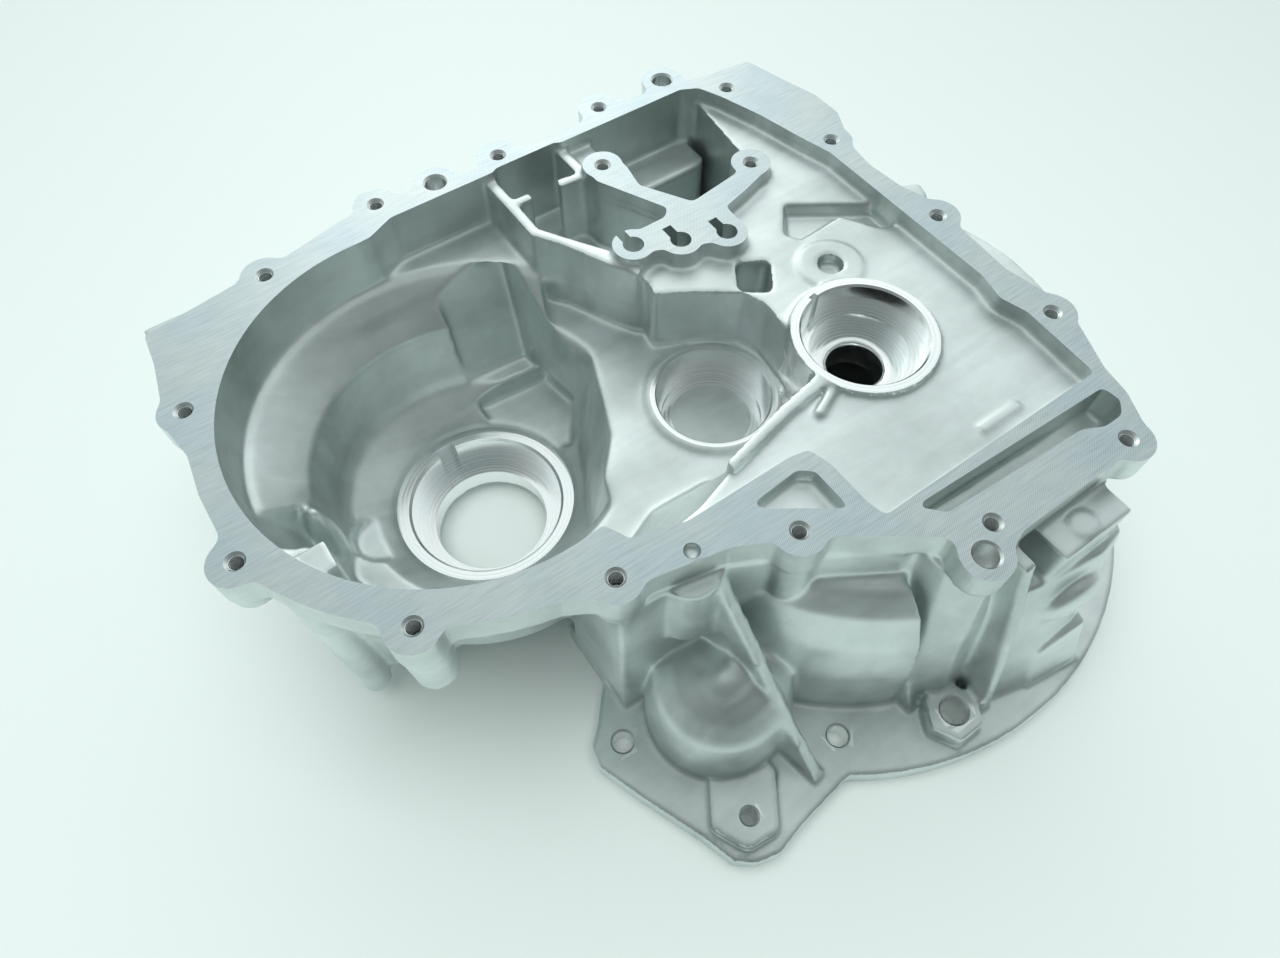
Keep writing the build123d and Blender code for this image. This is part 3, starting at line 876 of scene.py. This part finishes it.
@dataclass
class FoundryForms:
    """Rounded forms of the casting that the plain solid only hints at, in millimetres."""

    dome: Bulge = Bulge((-139, -80, 66), (17, 14, 16), 20)          # low on the front wall
    leg: Post = Post(-278, 37, 20, 7.5, 141, 10)                    # at the chamber's front
    leg_web: tuple = ((-280, 37, 24), (-262, 52, 141))
    long_boss: Post = Post(-249, -12, 105, 10, 141, 11.5)
    rib_end: Bulge = Bulge((-262, 92, 82), (7, 9, 26), 30)          # of the deep pocket's rib
    pad: Post = Post(13, -129, 130, 6.5, 138.2, 6.5, 32)
    shoulder: tuple = (                                             # right of the hex boss
        (5, -165, 12), (40, -170, 12), (5, -140, 12), (40, -140, 12),
        (5, -157, 48), (38, -158.5, 51), (5, -140, 52), (38, -140, 55),
    )
    shoulder_bulge: Bulge = Bulge((16, -146, 86), (19, 7, 15), -4)

    def add_to(self, body: bpy.types.Object) -> None:
        """Join the forms to the raw solid.

        Args:
            body: The raw solid, changed in place.
        """
        bm = bmesh.new()
        bm.from_mesh(body.data)
        self.dome.add(bm)
        self.leg.add(bm)
        slab(bm, *(Vector(corner) * MM for corner in self.leg_web))
        self.long_boss.add(bm)
        self.rib_end.add(bm)
        self.pad.add(bm)
        hull(bm, self.shoulder)
        self.shoulder_bulge.add(bm)
        bm.to_mesh(body.data)
        bm.free()


@dataclass
class Housing:
    """The finished housing: a machined casting."""

    machining: Machining
    raw: RawCasting
    forms: FoundryForms
    sharp_angle: float = 32.0           # degrees, past which an edge stays sharp
    side_room: float = 50 * MM          # how far the face mill runs past the casting
    mill_depth: float = 30 * MM
    least_left: float = 1 / 3           # of the faces, after a cut that worked
    flat_band: float = 0.02 * MM        # faces this close to a milled face belong to it
    upright: float = 0.99               # of a milled face's normal
    drill_band: float = 1.2 * MM        # round a hole, with its chamfer
    tip_band: float = 2 * MM            # below a hole, with its drill point
    floor_edge: float = 0.4 * MM        # a seat's cast floor starts this far inside its wall
    floor_band: float = 0.5 * MM        # and reaches this high above its lowest step
    hair: float = 0.01 * MM

    def build(self, materials: list) -> bpy.types.Object:
        """Cast, machine and dress the housing.

        Args:
            materials: One material for each Surface, in its order.

        Returns:
            The finished piece.
        """
        body = self.raw.build(self.machining, self.forms)
        self.skim(body)
        for cutter in self.machining.cutters():
            self.cut(body, cutter)
            drop(cutter)
        body.name = "casting"
        body.data.materials.clear()
        for material in materials:
            body.data.materials.append(material)
        self.assign(body)
        body.data.shade_smooth()
        body.data.set_sharp_from_angle(angle=math.radians(self.sharp_angle))
        log.info("casting: %d faces", len(body.data.polygons))
        return body

    def skim(self, body: bpy.types.Object) -> None:
        """Face the joint side and the engine side.

        Args:
            body: The raw casting, changed in place.
        """
        low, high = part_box(NODE)
        side = Vector((self.side_room, self.side_room, 0))
        depth = Vector((0, 0, self.mill_depth))
        bm = bmesh.new()
        slab(bm, Vector((low.x, low.y, JOINT_Z)) - side, Vector((high.x, high.y, JOINT_Z)) + side + depth)
        slab(bm, Vector((low.x, low.y, 0)) - side - depth, Vector((high.x, high.y, 0)) + side)
        cutter = object_from("facing", bm)
        self.cut(body, cutter)
        drop(cutter)

    def cut(self, body: bpy.types.Object, cutter: bpy.types.Object) -> None:
        """Subtract a cutter from the body.

        Args:
            body: The piece that is cut.
            cutter: A closed mesh.
        """
        before = len(body.data.polygons)
        modifier = body.modifiers.new("cut", "BOOLEAN")
        modifier.operation = "DIFFERENCE"
        modifier.object = cutter
        modifier.solver = "MANIFOLD"
        baked(body)
        if len(body.data.polygons) < before * self.least_left:
            raise RuntimeError("the cut left too little")

    def assign(self, body: bpy.types.Object) -> None:
        """Set each face's material from what made it.

        Args:
            body: The machined casting, changed in place.
        """
        mesh = body.data
        centres = np.empty(len(mesh.polygons) * 3)
        normals = np.empty(len(mesh.polygons) * 3)
        mesh.polygons.foreach_get("center", centres)
        mesh.polygons.foreach_get("normal", normals)
        x, y, z = centres.reshape(-1, 3).T
        up = normals.reshape(-1, 3)[:, 2]
        index = np.full(len(mesh.polygons), Surface.CAST.value, dtype=np.int32)
        flat = (np.abs(z - JOINT_Z) < self.flat_band) & (up > self.upright)
        flat |= (np.abs(z) < self.flat_band) & (up < -self.upright)
        index[flat] = Surface.MILLED.value
        for hole in self.machining.holes:
            inside = np.hypot(x - hole.x, y - hole.y) < hole.radius + self.drill_band
            inside &= (z > hole.low - self.tip_band) & (z < hole.high + self.hair) & ~flat
            index[inside] = Surface.DRILLED.value
        for number, seat in enumerate(SEATS):
            at = self.machining.places[seat.name]
            away = np.hypot(x - at.x, y - at.y)
            bore = seat.steps[0][0] * MM
            foot = seat.steps[-1][1] * MM
            cut = (away < seat.rim * MM + 2 * self.hair) & (z < seat.top * MM + self.hair) & (z > foot)
            cut &= ~((away < bore - self.floor_edge) & (z < foot + self.floor_band))
            index[cut] = Surface.TURNED.value + number
        mesh.polygons.foreach_set("material_index", index)


# Threads


@dataclass
class Threads:
    """The ridges of the threads in the joint face's tapped holes."""

    turns: int = 9
    pitch: float = 1.25 * MM
    ridge: float = 0.42 * MM
    lead: float = 0.8 * MM              # from the chamfer's foot to the first ridge
    inset: float = 0.1 * MM             # of the ridges' middle line from the hole's wall
    ring_sides: int = 28
    ridge_sides: int = 4

    def tree(self) -> tuple:
        """Make the node tree that stacks rings below each point.

        Returns:
            The tree and the identifiers of its named inputs.
        """
        group = bpy.data.node_groups.new("stacked thread ridges", "GeometryNodeTree")
        face = group.interface
        face.new_socket(name="Geometry", in_out="INPUT", socket_type="NodeSocketGeometry")
        ids = {}
        for name, kind in (
            ("Turns", "NodeSocketInt"), ("Step", "NodeSocketVector"), ("Radius", "NodeSocketFloat"),
            ("Ridge", "NodeSocketFloat"), ("Material", "NodeSocketMaterial"),
        ):
            ids[name] = face.new_socket(name=name, in_out="INPUT", socket_type=kind).identifier
        face.new_socket(name="Geometry", in_out="OUTPUT", socket_type="NodeSocketGeometry")
        tree = TreeBuilder(group)
        into, out = tree.node("NodeGroupInput"), tree.node("NodeGroupOutput")
        ring = tree.node("GeometryNodeCurvePrimitiveCircle")
        ring.inputs["Resolution"].default_value = self.ring_sides
        tree.join(into.outputs["Radius"], ring.inputs["Radius"])
        edge = tree.node("GeometryNodeCurvePrimitiveCircle")
        edge.inputs["Resolution"].default_value = self.ridge_sides
        tree.join(into.outputs["Ridge"], edge.inputs["Radius"])
        solid = tree.node("GeometryNodeCurveToMesh")
        tree.join(ring.outputs["Curve"], solid.inputs["Curve"])
        tree.join(edge.outputs["Curve"], solid.inputs["Profile Curve"])
        line = tree.node("GeometryNodeMeshLine")
        tree.join(into.outputs["Turns"], line.inputs["Count"])
        tree.join(into.outputs["Step"], line.inputs["Offset"])
        stack = tree.node("GeometryNodeInstanceOnPoints")
        tree.join(line.outputs["Mesh"], stack.inputs["Points"])
        tree.join(solid.outputs["Mesh"], stack.inputs["Instance"])
        every = tree.node("GeometryNodeInstanceOnPoints")
        tree.join(into.outputs["Geometry"], every.inputs["Points"])
        tree.join(stack.outputs["Instances"], every.inputs["Instance"])
        real = tree.node("GeometryNodeRealizeInstances")
        tree.join(every.outputs["Instances"], real.inputs["Geometry"])
        dress = tree.node("GeometryNodeSetMaterial")
        tree.join(real.outputs["Geometry"], dress.inputs["Geometry"])
        tree.join(into.outputs["Material"], dress.inputs["Material"])
        tree.join(dress.outputs["Geometry"], out.inputs["Geometry"])
        return group, ids

    def build(self, machining: Machining, material: bpy.types.Material) -> bpy.types.Object:
        """Make the ridges of all tapped holes in the joint face.

        Args:
            machining: It knows the holes.
            material: Finish of the ridges.

        Returns:
            One piece with every ridge.
        """
        holes = [hole for hole in machining.holes if hole.threaded and hole.flush]
        points = bmesh.new()
        for hole in holes:
            points.verts.new((hole.x, hole.y, hole.high - machining.chamfer - self.lead))
        obj = object_from("screw_threads", points)
        group, ids = self.tree()
        modifier = obj.modifiers.new("ridges", "NODES")
        modifier.node_group = group
        modifier[ids["Turns"]] = self.turns
        modifier[ids["Step"]] = (0.0, 0.0, -self.pitch)
        modifier[ids["Radius"]] = holes[0].radius - self.inset
        modifier[ids["Ridge"]] = self.ridge
        modifier[ids["Material"]] = material
        baked(obj)
        log.info("threads: %d holes, %d faces", len(holes), len(obj.data.polygons))
        return obj


# Stage


@dataclass(frozen=True)
class Lamp:
    """A square soft lamp, in metres and watts."""

    name: str
    at: tuple
    aim: tuple
    size: float
    power: float
    shiny: bool                         # whether metal mirrors it

    def add(self, tone: tuple) -> None:
        """Hang the lamp.

        Args:
            tone: Colour of its light.
        """
        lamp = bpy.data.lights.new(self.name, "AREA")
        lamp.energy = self.power
        lamp.size = self.size
        lamp.color = tone
        obj = link(bpy.data.objects.new(self.name, lamp))
        obj.location = self.at
        toward = Vector(self.aim) - Vector(self.at)
        obj.rotation_euler = toward.to_track_quat("-Z", "Y").to_euler()
        obj.visible_glossy = self.shiny


@dataclass
class Studio:
    """Camera, table and soft light, in metres and degrees."""

    eye: tuple = (-0.2480, -0.1639, 0.4687)
    azimuth: float = 35.0
    elevation: float = 58.75
    focal: float = 860.0                # in pixels of a picture as wide as frame_width
    frame_width: float = 1280.0
    sensor: float = 36.0                # in millimetres
    nearest: float = 0.01
    table: tuple = (0.72, 0.79, 0.765)
    table_roughness: float = 0.55
    table_reach: float = 4.0
    window: tuple = (0.45, 0.75, 0.48)  # towards the bright side of the room
    room: tuple = (                     # its tones, from the far side to the window
        (0.0, (0.09, 0.105, 0.105)), (0.5, (0.20, 0.225, 0.225)), (0.72, (0.40, 0.44, 0.44)),
        (0.82, (0.62, 0.675, 0.675)), (0.93, (0.74, 0.80, 0.80)), (1.0, (0.94, 1.0, 0.99)),
    )
    strength: float = 1.22
    lamp_tone: tuple = (0.985, 1.0, 0.995)
    lamps: tuple = (
        Lamp("window", (0.5, 1.6, 1.0), (-0.1, 0.05, 0.05), 1.2, 4.0, True),
        Lamp("ceiling", (-0.35, -0.15, 1.9), (-0.12, 0.0, 0.0), 1.6, 27.0, False),
    )

    def camera(self) -> None:
        """Place the camera as the photograph has it."""
        az, el = math.radians(self.azimuth), math.radians(self.elevation)
        forward = Vector((math.cos(el) * math.sin(az), math.cos(el) * math.cos(az), -math.sin(el)))
        right = Vector((math.cos(az), -math.sin(az), 0))
        up = right.cross(forward)
        data = bpy.data.cameras.new("camera")
        data.sensor_width = self.sensor
        data.lens = self.focal / self.frame_width * self.sensor
        data.clip_start = self.nearest
        camera = link(bpy.data.objects.new("camera", data))
        place = Matrix((right, up, -forward)).transposed().to_4x4()
        place.translation = Vector(self.eye)
        camera.matrix_world = place
        bpy.context.scene.camera = camera

    def floor(self) -> None:
        """Lay the pale table."""
        bm = bmesh.new()
        bmesh.ops.create_grid(bm, x_segments=1, y_segments=1, size=self.table_reach)
        obj = object_from("table", bm)
        material = bpy.data.materials.new("table")
        material.use_nodes = True
        shader = material.node_tree.nodes["Principled BSDF"]
        shader.inputs["Base Color"].default_value = (*self.table, 1)
        shader.inputs["Roughness"].default_value = self.table_roughness
        obj.data.materials.append(material)

    def light(self) -> None:
        """Set the world and the lamps."""
        world = bpy.data.worlds.new("studio")
        bpy.context.scene.world = world
        world.use_nodes = True
        tree = TreeBuilder(world.node_tree)
        background = world.node_tree.nodes["Background"]
        coords = tree.node("ShaderNodeTexCoord")
        toward = tree.node("ShaderNodeVectorMath", operation="DOT_PRODUCT")
        toward.inputs[1].default_value = self.window
        tree.join(coords.outputs["Generated"], toward.inputs[0])
        half = 0.5
        bright = tree.maths("MULTIPLY_ADD", toward.outputs["Value"], half, half)
        tree.join(tree.ramp(bright, self.room).outputs["Color"], background.inputs["Color"])
        background.inputs["Strength"].default_value = self.strength
        for lamp in self.lamps:
            lamp.add(self.lamp_tone)
        bpy.context.scene.view_settings.view_transform = "Standard"


def finishes(machining: Machining) -> list:
    """Build the materials in the order of Surface, with a turned one for each seat.

    Args:
        machining: It knows where the seats are.

    Returns:
        The materials of the casting.
    """
    skin = cast_skin_group()
    marks = cutter_marks_group()
    milled = MachinedFinish(
        "milled face", light=(0.62, 0.68, 0.68), dark=(0.44, 0.49, 0.49), roughness=0.32,
        pitch=420.0, wander=1.2, centre=(-330, 330, 155), tint=(0.90, 0.95, 0.99),
        scratch=0.7, bump=0.08,
    )
    drilled = MachinedFinish(
        "drilled hole", light=(0.92, 0.95, 0.94), dark=(0.74, 0.77, 0.76), roughness=0.24,
        pitch=900.0, wander=0.2, bump=0.0,
    )
    made = [CastSkin().build(skin), milled.build(marks), drilled.build(marks)]
    for seat in SEATS:
        at = machining.places[seat.name] / MM
        turned = MachinedFinish(
            "turned " + seat.name, light=WHITE, dark=(0.90, 0.93, 0.92), roughness=0.13,
            pitch=150.0, wander=0.02, centre=(at.x, at.y, 0), bump=0.012,
        )
        made.append(turned.build(marks))
    return made


def main() -> None:
    """Set the stage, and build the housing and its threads."""
    logging.basicConfig(level=logging.INFO)
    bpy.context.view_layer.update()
    studio = Studio()
    studio.camera()
    studio.floor()
    studio.light()
    machining = Machining(frame["record"])
    machining.read()
    materials = finishes(machining)
    housing = Housing(machining, RawCasting(), FoundryForms())
    piece = housing.build(materials)
    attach(piece, "root")
    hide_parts(NODE)
    threads = Threads().build(machining, materials[Surface.DRILLED.value])
    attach(threads, "root")
    log.info("pieces: %s, %s", piece.name, threads.name)


if __name__ == "__main__":
    main()
